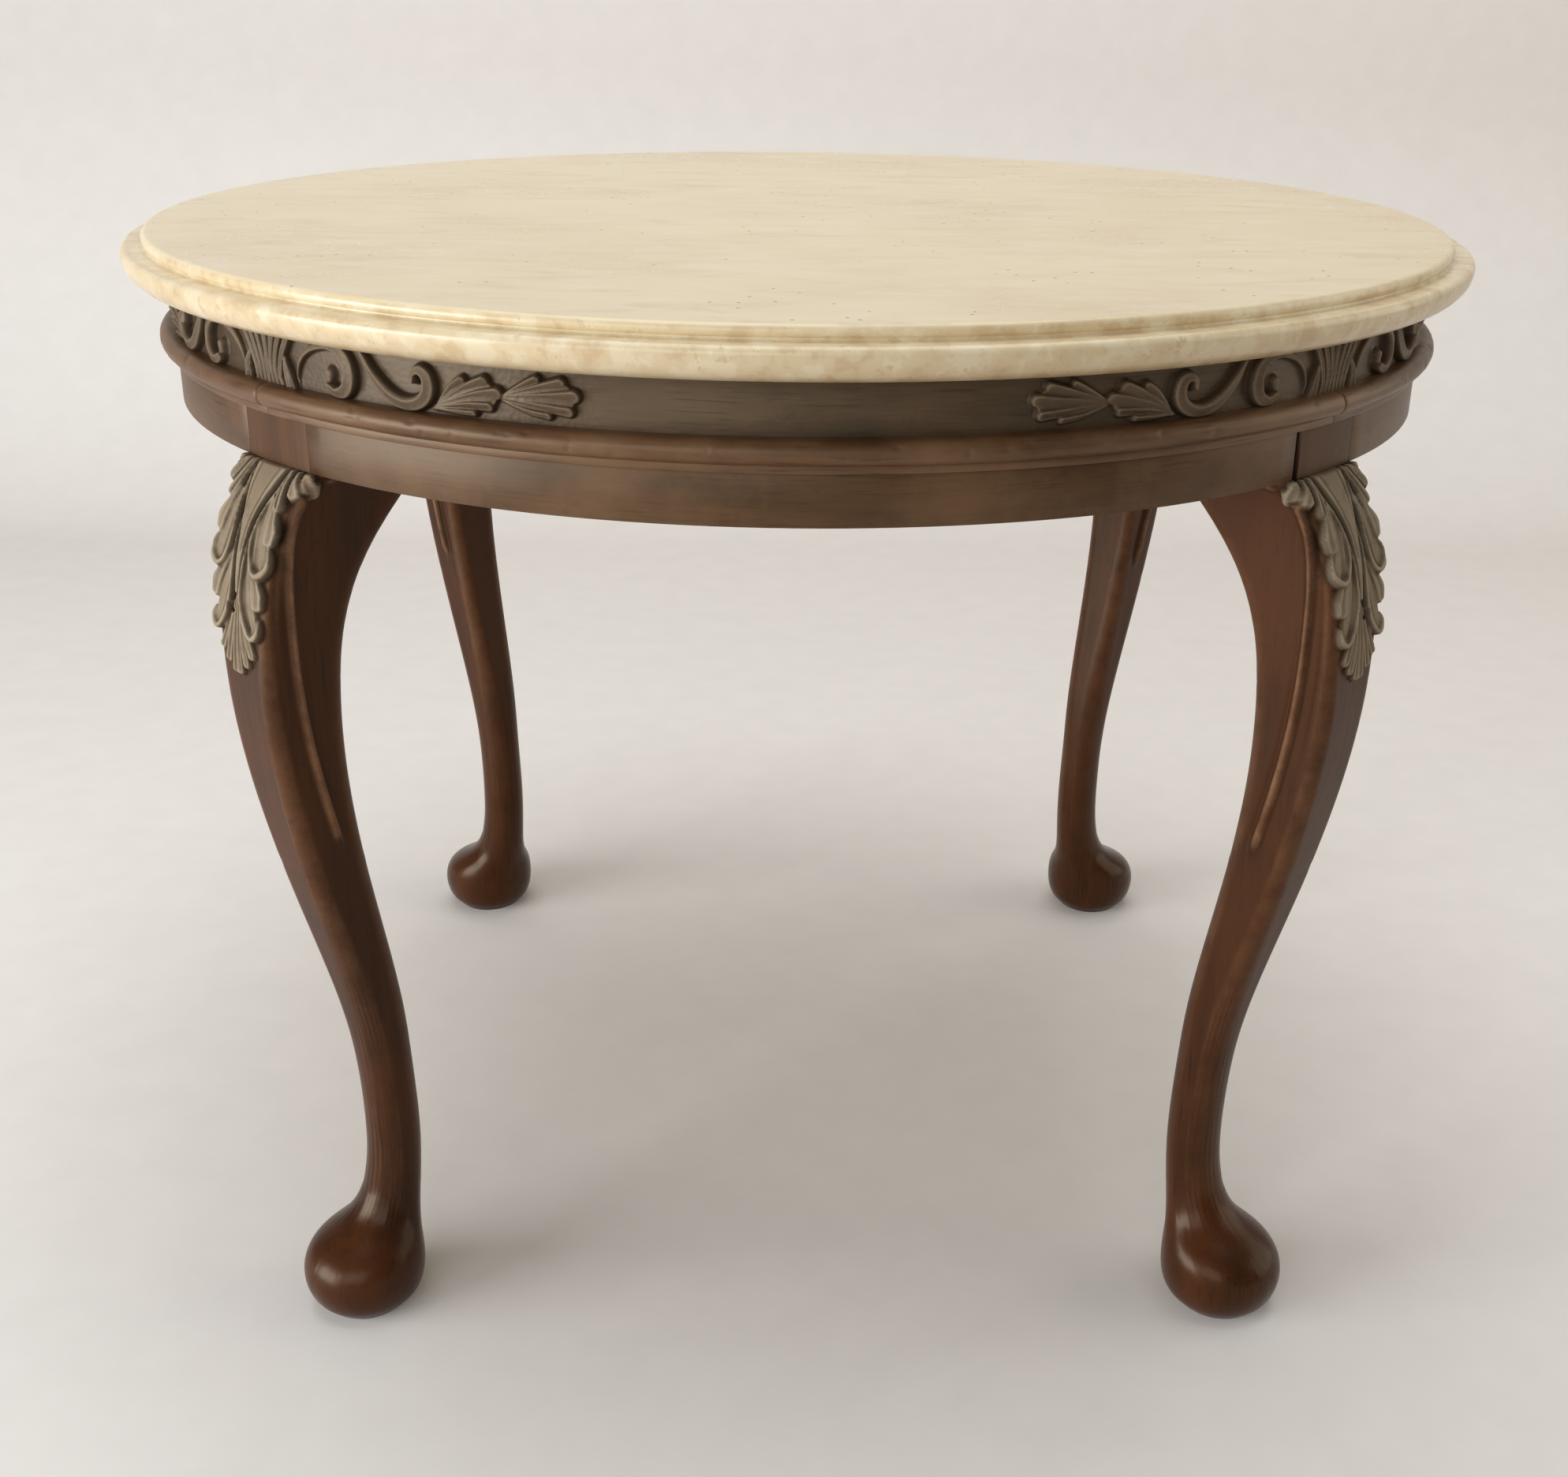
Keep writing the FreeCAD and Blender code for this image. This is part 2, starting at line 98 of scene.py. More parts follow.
def smooth_path(points):
    """Evenly spaced rows along a smooth curve through the given rows."""
    rows = np.array(points, float)
    padded = np.vstack([2 * rows[0] - rows[1], rows, 2 * rows[-1] - rows[-2]])
    step = np.linspace(0, 1, STROKE_STEPS, endpoint=False)[:, None]
    curve = []
    for a, b, c, d in zip(padded, padded[1:], padded[2:], padded[3:]):
        bend = (2 * a - 5 * b + 4 * c - d) * step ** 2 + (3 * b - a - 3 * c + d) * step ** 3
        curve.append((2 * b + (c - a) * step + bend) / 2)
    curve = np.vstack(curve + [rows[-1:]])
    steps = np.linalg.norm(np.diff(curve[:, :2], axis=0), axis=1)
    length = np.concatenate([[0], np.cumsum(steps)])
    even = np.linspace(0, length[-1], int(length[-1] / STROKE_SPACING) + 2)
    return np.stack([np.interp(even, length, column) for column in curve.T], 1)


class Relief:
    """Carved heights in millimetres over flat coordinates."""

    def __init__(self, across, up):
        self.across = across
        self.up = up
        self.height = np.zeros_like(across)

    def near(self, rows):
        """The grid points near a stroke, and for each: how far in from the stroke's edge it lies, its place
        across from -1 at the right edge to 1 at the left, its share of the way out from the middle line to
        the edge, and the stroke's height. Rows hold x, y, half width, height."""
        curve = smooth_path(rows)
        reach = curve[:, 2].max()
        inside = (self.across > curve[:, 0].min() - reach) & (self.across < curve[:, 0].max() + reach)
        inside &= (self.up > curve[:, 1].min() - reach) & (self.up < curve[:, 1].max() + reach)
        across = self.across[inside][:, None] - curve[:, 0]
        up = self.up[inside][:, None] - curve[:, 1]
        half = np.maximum(curve[:, 2], LEAST_HALF)
        share = np.hypot(across, up) / half
        nearest = share.argmin(1)
        point = np.arange(len(nearest))
        share, half = share[point, nearest], half[nearest]
        ahead = np.gradient(curve[:, :2], axis=0)[nearest]
        turn = ahead[:, 0] * up[point, nearest] - ahead[:, 1] * across[point, nearest]
        side = turn / (np.hypot(ahead[:, 0], ahead[:, 1]) * half)
        return inside, (1 - share) * half, np.clip(side, -1, 1), np.clip(share, 0, 1), curve[nearest, 3]

    def raise_stroke(self, rows, form, wall=WALL):
        """A raised band with a form across it."""
        inside, depth, side, share, height = self.near(rows)
        lift = height * form(side, share) * smooth_step(depth / wall)
        self.height[inside] = np.maximum(self.height[inside], lift)

    def sink_stroke(self, rows):
        """A rounded groove."""
        inside, _, _, share, height = self.near(rows)
        self.height[inside] -= height * (1 - share ** 2)


def rounded(bow):
    """A form that falls away to all its edges."""
    return lambda side, share: 1 - bow * share ** 2


def hollowed(dip):
    """A form with a hollow inside a rim."""
    return lambda side, share: 1 - dip * (1 - share ** 2)


def crested(place, inner=0.5, outer=0.3, swell=0.7):
    """A form with a crest off its middle: steep on the short side, easy on the long one."""
    def form(side, share):
        off = (side - place) * np.sign(place)
        short = inner * off / (1 - abs(place))
        long = outer * np.maximum(-off / (1 + abs(place)), 0) ** swell
        return 1 - np.where(off > 0, short, long)
    return form


def gouged(channel, dip=0.4, hollow=0.2, veins=2.5, vein=0.025, width=0.2):
    """A leaf's form: a channel off its middle, a slight hollow inside its rim, and fine veins along it."""
    def form(side, share):
        groove = dip * np.exp(-((side - channel) / width) ** 2)
        return 1 - groove - hollow * (1 - share ** 2) - vein * np.sin(math.pi * veins * side) ** 2
    return form


def finger(relief, points, half, height, form):
    """A leaf's finger through three points: narrow at its root, full and round at its tip."""
    root, middle, tip = np.array(points, float)
    back = (middle - tip) / np.linalg.norm(middle - tip)
    tip = tip + back * half * 0.8
    relief.raise_stroke([(*root, half * 0.45, height * 0.6), (*middle, half * 0.85, height * 0.9),
                         (*tip, half, height)], form)


def carving_marks(height):
    """How deep or steep each point is among its neighbours, and how far it stands above them, 0 to 1."""
    mean = soften(height, 14)
    steep = np.maximum(*(np.abs(np.gradient(height, axis=axis)) for axis in (0, 1)))
    # The cavity mark covers hollows and steep walls; the materials paint it dark, partly dirt and partly
    # painted shade
    cavity = np.clip((mean - height - 0.2) / 1.3, 0, 1)
    cavity = np.maximum(cavity, 0.6 * smooth_step((steep - 0.25) / 0.5))
    ridge = np.clip((height - mean + 0.1) / 0.8, 0, 1)
    return cavity, ridge


# Pieces


def skin(name, rings, material, **attributes):
    """A closed mesh through rings of points: faces between them and a flat cap on each end."""
    count, around = rings.shape[:2]
    mesh = bpy.data.meshes.new(name)
    first = np.arange(count - 1)[:, None] * around + np.arange(around)
    beside = np.roll(first, -1, axis=1)
    quads = np.stack([first, beside, beside + around, first + around], -1).reshape(-1, 4)
    caps = [list(range(around)), list(range((count - 1) * around, count * around))]
    mesh.from_pydata(rings.reshape(-1, 3).tolist(), [], quads.tolist() + caps)
    for label, values in attributes.items():
        attribute = mesh.attributes.new(label, "FLOAT", "POINT")
        attribute.data.foreach_set("value", values.astype(np.float32).ravel())
    shape = bmesh.new()
    shape.from_mesh(mesh)
    four_sided = [face for face in shape.faces if len(face.verts) == 4]
    bmesh.ops.triangulate(shape, faces=four_sided, quad_method="SHORT_EDGE")
    bmesh.ops.recalc_face_normals(shape, faces=shape.faces)
    shape.to_mesh(mesh)
    shape.free()
    mesh.shade_smooth()
    mesh.set_sharp_from_angle(angle=CARVED_EDGE)
    mesh.materials.append(material)
    piece = bpy.data.objects.new(name, mesh)
    bpy.context.scene.collection.objects.link(piece)
    return piece


def bent(loop, columns, level):
    """Rings of points from distances to the table's axis, angles round it and heights."""
    return np.stack([loop * np.cos(columns)[:, None], loop * np.sin(columns)[:, None], level], -1)


def stand_for(piece, node, body):
    """Put a piece in the place of a CAD node."""
    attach(piece, body)
    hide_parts(node)


# Colours

OLD_WAX = (1.0, 0.85, 0.65, 1.0)
PALE_DUST = (0.355, 0.291, 0.203)
BROWN_DUST = (0.185, 0.135, 0.090)
# Dark colour of crevices, steep walls and the shrunk joint's gap: dirt and painted shade
CREVICE_DIRT_AND_SHADE = (0.018, 0.010, 0.005)
LEG_SHADES = ((0.018, 0.006, 0.002), (0.042, 0.012, 0.003), (0.068, 0.020, 0.005))
BAND_SHADES = ((0.040, 0.018, 0.007), (0.074, 0.034, 0.013), (0.106, 0.052, 0.023))
BEAD_SHADES = ((0.055, 0.025, 0.011), (0.115, 0.057, 0.027), (0.175, 0.100, 0.054))
FRIEZE_SHADES = ((0.034, 0.021, 0.011), (0.062, 0.040, 0.022), (0.092, 0.063, 0.038))
RED_WEAR = (0.090, 0.026, 0.007)
# Pale rubbed wear on the leg's corners; on the side rib it is also a painted highlight
PINK_WEAR_AND_RIB_HIGHLIGHT = (0.235, 0.115, 0.060)
TAN_WEAR = (0.185, 0.105, 0.054)

CREAM_DARK, CREAM, CREAM_LIGHT = (0.74, 0.60, 0.365), (0.805, 0.675, 0.43), (0.83, 0.72, 0.485)
PALE_STREAK, TAN_STREAK = (0.84, 0.75, 0.56), (0.62, 0.48, 0.30)
EDGE_DARK, EDGE_TAN = (0.61, 0.46, 0.27), (0.70, 0.57, 0.36)
EDGE_CREAM, EDGE_PALE = (0.72, 0.60, 0.39), (0.78, 0.68, 0.48)
EDGE_FLECK = (0.63, 0.49, 0.30)
PIT = (0.16, 0.10, 0.06)

# Materials

# Mean radius of the wooden ring, along which its grain runs
RING_RADIUS = 0.3


class Nodes:
    """Short calls for a material's nodes."""

    def __init__(self, name):
        self.material = bpy.data.materials.new(name)
        self.material.use_nodes = True
        self.tree = self.material.node_tree
        self.shader = self.tree.nodes["Principled BSDF"]

    def add(self, kind, inputs=(), **settings):
        """A node with its settings and with values or links on its inputs."""
        node = self.tree.nodes.new(f"ShaderNode{kind}")
        for key, setting in settings.items():
            setattr(node, key, setting)
        for key, source in dict(inputs).items():
            self.link(source, node.inputs[key])
        return node

    def link(self, source, socket):
        """Set a socket from a link or a value."""
        if isinstance(source, bpy.types.NodeSocket):
            self.tree.links.new(source, socket)
        else:
            socket.default_value = source

    def math(self, operation, first, second=0.0):
        """A sum, product or the like of numbers."""
        return self.add("Math", {0: first, 1: second}, operation=operation).outputs[0]

    def place(self):
        """The point on the object at rest."""
        return self.add("TexCoord").outputs["Object"]

    def height(self):
        """Height over the floor at rest."""
        return self.add("SeparateXYZ", {0: self.place()}).outputs[2]

    def along_ring(self):
        """Round the table, up and across: the same at both ends of every side."""
        parts = self.add("SeparateXYZ", {0: self.place()}).outputs
        angle = self.math("ARCTAN2", parts[1], self.math("ABSOLUTE", parts[0]))
        arc = self.math("MULTIPLY", angle, RING_RADIUS)
        return self.add("CombineXYZ", {0: arc, 1: parts[2], 2: parts[0]}).outputs[0]

    def noise(self, vector, scale, stretch=(1, 1, 1), detail=4.0, rough=0.55, warp=0.0):
        """Noise from 0 to 1, stretched along the axes and warped."""
        mapped = self.add("Mapping", {"Vector": vector, "Scale": stretch}).outputs[0]
        inputs = {"Vector": mapped, "Scale": scale, "Detail": detail, "Roughness": rough, "Distortion": warp}
        return self.add("TexNoise", inputs).outputs["Fac"]

    def ramp(self, factor, *stops):
        """Colours at places from 0 to 1."""
        node = self.add("ValToRGB", {"Fac": factor})
        while len(node.color_ramp.elements) < len(stops):
            node.color_ramp.elements.new(1)
        for element, (place, colour) in zip(node.color_ramp.elements, stops):
            element.position = place
            element.color = (*colour, 1)
        return node.outputs[0]

    def level(self, factor, low, high):
        """A number that goes from 0 at low to 1 at high."""
        inputs = {"Value": factor, "From Min": low, "From Max": high}
        return self.add("MapRange", inputs).outputs[0]

    def mix(self, factor, first, second):
        """A colour between two."""
        node = self.add("Mix", data_type="RGBA")
        self.link(factor, node.inputs[0])
        for socket, source in ((node.inputs[6], first), (node.inputs[7], second)):
            self.link((*source, 1) if isinstance(source, tuple) else source, socket)
        return node.outputs[2]

    def mark(self, label):
        """A mark that the mesh carries, 0 to 1."""
        return self.add("Attribute", attribute_name=label).outputs["Fac"]

    def bump(self, height, strength, distance, before=None):
        """A normal, tilted by a height and laid over the one before."""
        inputs = {"Height": height, "Strength": strength, "Distance": distance}
        if before is not None:
            inputs["Normal"] = before
        return self.add("Bump", inputs).outputs[0]

    def finish(self, colour, roughness, normal, **constants):
        """The finished material."""
        self.link(colour, self.shader.inputs["Base Color"])
        self.link(roughness, self.shader.inputs["Roughness"])
        self.link(normal, self.shader.inputs["Normal"])
        for key, value in constants.items():
            self.shader.inputs[key.replace("_", " ")].default_value = value
        return self.material


def grained(wood, vector, long_grain, fine_grain, shades):
    """Colour of long grain with fine dark pores, and the pores."""
    grain = wood.noise(vector, 1.0, long_grain, 6.0, 0.6)
    pores = wood.noise(vector, 1.0, fine_grain, 2.0, 0.5)
    dark, middle, light = shades
    colour = wood.ramp(grain, (0.3, dark), (0.5, middle), (0.72, light))
    return wood.mix(wood.level(pores, 0.56, 0.74), colour, dark), pores


def aged_and_shaded_carving(wood, colour, speckle, dust):
    """Colour with pale dust on the raised carving and dirt with painted shade in its crevices and on its
    steep walls, and how dull they make it.
    """
    cavity = wood.mark("cavity")
    ridge = wood.mark("ridge")
    dusty = wood.math("MULTIPLY", ridge, wood.level(speckle, 0.05, 0.5))
    colour = wood.mix(dusty, colour, dust)
    dull = wood.math("MAXIMUM", cavity, wood.math("MULTIPLY", ridge, 0.5))
    return wood.mix(cavity, colour, CREVICE_DIRT_AND_SHADE), wood.math("MULTIPLY", dull, 0.5)


def ring_wood(name, shades, worn, carved=False):
    """Old polished wood with its grain round the table, rubbed pale in places and dirty in others."""
    wood = Nodes(name)
    colour, pores = grained(wood, wood.along_ring(), (6, 60, 6), (30, 900, 30), shades)
    patches = wood.noise(wood.place(), 14.0, detail=6.0, rough=0.62)
    rubbed = wood.math("MULTIPLY", wood.level(patches, 0.44, 0.64), worn)
    colour = wood.mix(rubbed, colour, TAN_WEAR)
    speckle = wood.noise(wood.place(), 45.0, detail=6.0, rough=0.7)
    colour = wood.mix(wood.level(speckle, 0.6, 0.78), colour, shades[0])
    roughness = wood.math("ADD", wood.math("MULTIPLY", patches, 0.25), 0.3)
    if carved:
        # Dust on the raised carving; dirt and painted shade in its hollows and on its steep walls
        colour, dull = aged_and_shaded_carving(wood, colour, speckle, BROWN_DUST)
        roughness = wood.math("ADD", roughness, dull)
    normal = wood.bump(pores, 0.12, 0.0004)
    normal = wood.bump(speckle, 0.12, 0.0006, normal)
    return wood.finish(colour, roughness, normal, Specular_IOR_Level=0.5, Specular_Tint=OLD_WAX)


def leg_wood():
    """Red-brown wood with upright grain: polished at the foot, rubbed on its corners, rubbed pale along the
    side rib with a painted highlight there, dusty on the carving with dirt and painted shade in its crevices,
    and of the band's colour on the post."""
    wood = Nodes("leg_wood")
    up = wood.height()
    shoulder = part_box("rail_right")[0].z
    colour, pores = grained(wood, wood.place(), (40, 40, 3), (700, 700, 25), LEG_SHADES)
    post, _ = grained(wood, wood.place(), (60, 60, 5), (700, 700, 25), BAND_SHADES)
    colour = wood.mix(wood.level(up, shoulder - 0.0008, shoulder + 0.0007), colour, post)
    patches = wood.noise(wood.place(), 11.0, detail=5.0)
    speckle = wood.noise(wood.place(), 55.0, detail=6.0, rough=0.7)
    # Rubbed wear on the corners, and on the rib a painted highlight as well
    rubbed = wood.math("MULTIPLY", wood.mark("wear_and_rib_highlight"), wood.level(speckle, 0.25, 0.75))
    colour = wood.mix(wood.math("MULTIPLY", wood.level(patches, 0.45, 0.7), 0.5), colour, RED_WEAR)
    colour = wood.mix(rubbed, colour, PINK_WEAR_AND_RIB_HIGHLIGHT)
    colour = wood.mix(wood.level(speckle, 0.62, 0.8), colour, LEG_SHADES[0])
    # Dust on the raised carving; dirt and painted shade in its hollows and on its steep walls
    colour, dull = aged_and_shaded_carving(wood, colour, speckle, PALE_DUST)
    matt = wood.math("MULTIPLY", wood.level(up, 0.05, 0.16), 0.16)
    roughness = wood.math("ADD", matt, wood.math("ADD", wood.math("MULTIPLY", patches, 0.14), 0.2))
    roughness = wood.math("ADD", dull, roughness)
    normal = wood.bump(pores, 0.1, 0.0004)
    normal = wood.bump(speckle, 0.1, 0.0006, normal)
    return wood.finish(colour, roughness, normal, Specular_IOR_Level=0.27, Specular_Tint=OLD_WAX)


def stone_edge(stone):
    """Mottled colour of the slab's cut edge."""
    blots = stone.noise(stone.place(), 75.0, detail=4.0, rough=0.6)
    flecks = stone.noise(stone.place(), 170.0, detail=3.0, rough=0.6)
    tan = stone.ramp(blots, (0.38, EDGE_DARK), (0.46, EDGE_TAN), (0.54, EDGE_CREAM), (0.60, EDGE_PALE))
    return stone.mix(stone.level(flecks, 0.62, 0.66), tan, EDGE_FLECK)


def cream_marble():
    """Polished cream stone: a quiet top with faint streaks and small dark pits, and a mottled cut edge."""
    stone = Nodes("cream_marble")
    place = stone.place()
    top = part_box("stone_top")[1].z
    edge = stone.level(stone.height(), top - 0.0003, top - 0.0015)
    clouds = stone.noise(place, 9.0, detail=6.0, rough=0.6)
    streaks = stone.noise(place, 1.0, (22, 60, 60), 5.0, 0.6, 0.7)
    colour = stone.ramp(clouds, (0.3, CREAM_DARK), (0.5, CREAM), (0.7, CREAM_LIGHT))
    colour = stone.mix(stone.level(streaks, 0.5, 0.8), colour, PALE_STREAK)
    colour = stone.mix(stone.level(streaks, 0.45, 0.15), colour, TAN_STREAK)
    colour = stone.mix(stone.math("MULTIPLY", edge, 0.85), colour, stone_edge(stone))
    cells = stone.add("TexVoronoi", {"Vector": place, "Scale": 60.0}, voronoi_dimensions="2D")
    chance = stone.level(stone.noise(place, 30.0), 0.57, 0.6)
    chance = stone.math("MULTIPLY", chance, stone.level(edge, 1.0, 0.0))
    pit = stone.math("MULTIPLY", stone.level(cells.outputs["Distance"], 0.06, 0.035), chance)
    colour = stone.mix(pit, colour, PIT)
    roughness = stone.math("ADD", stone.math("MULTIPLY", clouds, 0.14), 0.22)
    normal = stone.bump(pit, -0.3, 0.0006)
    return stone.finish(colour, roughness, normal, Coat_Weight=0.1, Coat_Roughness=0.15)


def plain_wood(name, dark, light):
    """Bare wood on the hidden pieces."""
    wood = Nodes(name)
    grain = wood.noise(wood.along_ring(), 1.0, (8, 160, 90), 5.0, 0.6)
    colour = wood.ramp(grain, (0.35, dark), (0.65, light))
    return wood.finish(colour, wood.level(grain, -1.5, 1.2), wood.bump(grain, 0.25, 0.0005))


def screw_steel():
    """Dull steel with brown spots."""
    steel = Nodes("dull_steel")
    spots = steel.noise(steel.place(), 700.0, detail=5.0)
    colour = steel.ramp(spots, (0.4, (0.34, 0.32, 0.30)), (0.7, (0.16, 0.10, 0.06)))
    return steel.finish(colour, steel.level(spots, -0.6, 1.4), steel.bump(spots, 0.2, 0.0002), Metallic=0.9)


def pressed_felt():
    """Green felt with a fine nap."""
    felt = Nodes("pressed_felt")
    nap = felt.noise(felt.place(), 2500.0, detail=6.0, rough=0.7)
    colour = felt.ramp(nap, (0.3, (0.05, 0.09, 0.05)), (0.7, (0.14, 0.21, 0.13)))
    return felt.finish(colour, felt.level(nap, -9.0, 1.5), felt.bump(nap, 0.6, 0.0005), Sheen_Weight=0.4)


red_brown = leg_wood()
frieze_wood = ring_wood("frieze_wood", FRIEZE_SHADES, 0.15, carved=True)
band_wood = ring_wood("band_wood", BAND_SHADES, 0.5)
bead_wood = ring_wood("bead_wood", BEAD_SHADES, 0.6)
marble = cream_marble()
block_wood = plain_wood("block_wood", (0.16, 0.10, 0.055), (0.32, 0.22, 0.13))
dowel_wood = plain_wood("dowel_wood", (0.34, 0.23, 0.13), (0.52, 0.38, 0.23))
steel = screw_steel()
felt = pressed_felt()


# Slab


def stone_slab():
    """The slab, turned finely: the rounded nose, ledge, cove and half-round rim of its CAD node."""
    low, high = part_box("stone_top")
    radius, bottom, top = high.x, low.z, high.z
    nose, ease, ledge, rim, cove = 0.0112, 0.0032, 0.0095, 0.00275, 0.0013
    hub, margin, lip = 0.02, 0.004, 0.001
    quarter = np.linspace(0, math.pi / 2, 16)
    rim_turn = np.linspace(-0.9, math.pi / 2, 20)
    shelf = bottom + nose + ease
    step = radius - ease - ledge
    cove_start = step + rim * math.cos(rim_turn[0]) + cove
    profile = [(reach, bottom) for reach in np.linspace(hub, radius - nose - margin, 12)]
    profile += [(radius - nose + nose * math.sin(a), bottom + nose - nose * math.cos(a)) for a in quarter]
    profile += [(radius - ease + ease * math.cos(a), bottom + nose + ease * math.sin(a)) for a in quarter[1:]]
    profile += [(reach, shelf) for reach in np.linspace(radius - ease - lip, cove_start, 4)]
    profile += [(cove_start - cove * math.sin(a), shelf + cove - cove * math.cos(a)) for a in quarter[3:]]
    profile += [(step + rim * math.cos(a), top - rim + rim * math.sin(a)) for a in rim_turn]
    profile += [(reach, top) for reach in np.linspace(step - margin, hub, 12)]
    around = np.linspace(0, 2 * math.pi, 720, endpoint=False)
    reach, height = np.array(profile).T
    rings = np.stack([np.outer(reach, np.cos(around)), np.outer(reach, np.sin(around)),
                      np.repeat(height[:, None], len(around), 1)], -1)
    stand_for(skin("stone_slab", rings, marble), "stone_top", "top")


# Frieze

# How far the ornament reaches round the table from the middle of a leg, in radians
ORNAMENT = 0.53

# Points along half an ornament, along the plain stretch between two of them, and up the frieze
ORNAMENT_COLUMNS = 520
PLAIN_COLUMNS = 140
FRIEZE_ROWS = 72


def frieze_leaf(relief):
    """Half of the leaf over the middle of a leg: flame-like fingers and a pointed petal at the side."""
    relief.raise_stroke([(0, 470, 10, 1.6), (0, 480, 10, 2.0), (0, 494, 13, 2.0)], rounded(0.1))
    relief.raise_stroke([(0, 470, 1.5, 3.2), (0, 494, 1.8, 4.2)], hollowed(0.3), FINE_WALL)
    relief.raise_stroke([(3.2, 470, 1.2, 3.0), (2.9, 479, 1.5, 3.8), (4.6, 487, 1.7, 4.2),
                         (7.4, 495, 1.9, 4.2)], hollowed(0.3), FINE_WALL)
    relief.raise_stroke([(6.4, 470, 1.3, 3.0), (5.9, 478, 1.6, 3.8), (8.2, 486, 1.8, 4.2),
                         (12.8, 495, 2.0, 4.2)], hollowed(0.3), FINE_WALL)
    relief.raise_stroke([(9.8, 470, 1.3, 2.8), (9.0, 476, 1.7, 3.6), (11.6, 484, 1.8, 4.0),
                         (16.4, 492, 2.0, 4.0)], hollowed(0.35), FINE_WALL)
    relief.raise_stroke([(16.4, 470, 3.4, 3.4), (15.3, 476, 2.7, 4.2), (13.7, 481, 1.6, 4.4),
                         (13.0, 484, 0.6, 3.6)], hollowed(0.4), FINE_WALL)


def frieze_scrolls(relief):
    """The scroll that arches over from the leaf to its knob, and the one that sweeps down and curls up."""
    relief.raise_stroke([(20.4, 471.6, 0.6, 2.0), (20.4, 477, 1.0, 2.4), (23.6, 483.6, 1.5, 2.7),
                         (30.4, 488.8, 2.0, 3.0), (40, 491.4, 2.3, 3.4), (48.4, 490.6, 2.8, 4.2),
                         (53.2, 486, 3.4, 4.8), (54.0, 479.6, 3.7, 5.2), (51.4, 475, 3.5, 5.2),
                         (46.6, 473.6, 2.9, 5.0), (42.6, 475.2, 2.6, 4.8)], crested(-0.45))
    relief.raise_stroke([(41.8, 477.6, 3.3, 3.2), (42.0, 480.4, 3.8, 3.5)], rounded(0.55), wall=2.4)
    relief.raise_stroke([(59.4, 494, 1.2, 3.4), (62.4, 489.6, 2.0, 4.0), (67.2, 483.2, 2.8, 4.6),
                         (74.6, 476.8, 3.3, 4.8), (82.6, 474.0, 3.4, 5.0), (90.0, 475.2, 3.5, 5.2),
                         (94.4, 479.6, 3.5, 5.2), (94.4, 485.2, 3.2, 5.2), (91.4, 487.8, 2.7, 5.2),
                         (88.2, 486.4, 2.4, 5.2), (87.8, 483.8, 2.2, 5.4)], crested(0.4))
    relief.sink_stroke([(90.6, 482.8, 1.0, 3.0), (90.6, 481.0, 0.9, 2.6)])


def husk(relief, bed, leaflets):
    """A fan of leaflets, each with a crest along one edge, on a low bed."""
    relief.raise_stroke(bed, rounded(0.2))
    for points, half in leaflets:
        finger(relief, points, half, 4.2, crested(0.55, 0.35, 0.5))


def frieze_husks(relief):
    """Two husks that follow the scrolls."""
    husk(relief, [(97, 473.6, 1.6, 2.2), (108, 478.2, 5.0, 2.8), (120, 480.6, 5.8, 2.8)],
         [(((95, 473.2), (106, 473.2), (116.4, 473.4)), 1.9),
          (((97, 473.6), (112, 476), (123.6, 476.6)), 2.6),
          (((98, 474.4), (115.4, 480), (127.4, 482.4)), 3.2),
          (((98.6, 475), (111.8, 482.8), (121.6, 487)), 2.9),
          (((98, 475.6), (105, 482.4), (111.4, 486.8)), 2.3)])
    husk(relief, [(129, 480.4, 1.6, 2.2), (140, 481.6, 5.2, 2.8), (152, 482, 6.2, 2.8)],
         [(((127, 479.4), (138.2, 476.2), (148.4, 474.8)), 2.1),
          (((127.4, 480), (144.6, 478.2), (157.2, 477.0)), 2.8),
          (((128, 480.6), (147.2, 482.2), (159.6, 483.4)), 3.3),
          (((127.6, 481), (143.4, 485.6), (154, 488.4)), 2.8),
          (((127.4, 481.4), (137.4, 486.6), (143.6, 489.4)), 2.2)])


